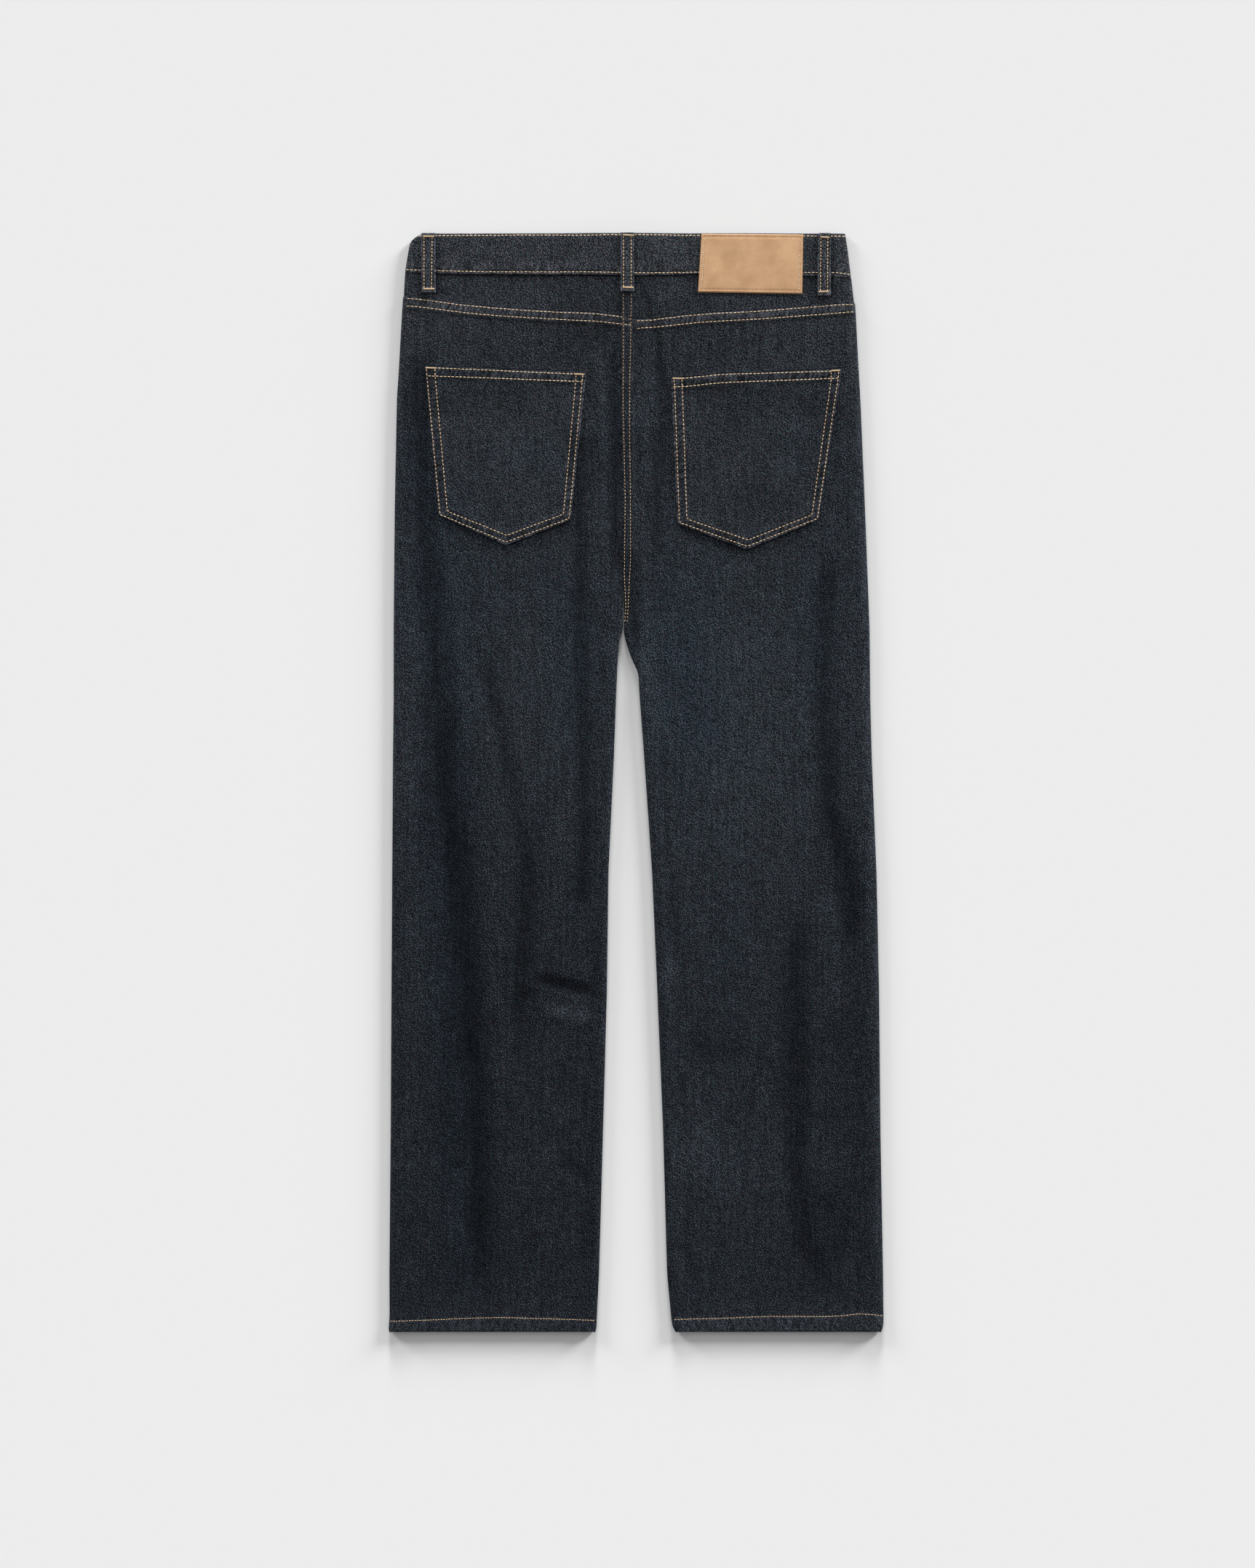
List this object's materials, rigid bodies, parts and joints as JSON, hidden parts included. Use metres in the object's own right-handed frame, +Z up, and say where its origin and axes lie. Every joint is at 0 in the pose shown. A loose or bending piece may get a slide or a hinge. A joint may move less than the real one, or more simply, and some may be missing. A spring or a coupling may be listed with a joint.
{
  "type": "straight leg jeans",
  "caption": "Straight leg denim jeans laid flat, back side up, with waistband, belt loops, yokes, patch pockets, a plain leather patch and a buttoned front.",
  "frame": {"origin": "centre of the outline on the surface that the jeans lie on", "axes": "+Z up out of the back of the jeans, +Y from the hems to the waist, +X to the wearer's right"},
  "size_m": [0.4696, 1.0421, 0.0119],
  "materials": {
    "denim": "matte",
    "thread": "satin",
    "leather": "matte",
    "copper": "satin"
  },
  "bodies": {
    "root": {"back_leg_left": "denim", "back_leg_right": "denim", "front_leg_left": "denim", "front_leg_right": "denim", "yoke_left": "denim", "yoke_right": "denim", "waistband": "denim", "pocket_back_left": "denim", "pocket_back_right": "denim", "pocket_facing_left": "denim", "pocket_facing_right": "denim", "belt_loop_back_left": "denim", "belt_loop_back_centre": "denim", "belt_loop_back_right": "denim", "belt_loop_front_left": "denim", "belt_loop_front_right": "denim", "leather_patch": "leather", "button": "copper"}
  },
  "joints": []
}
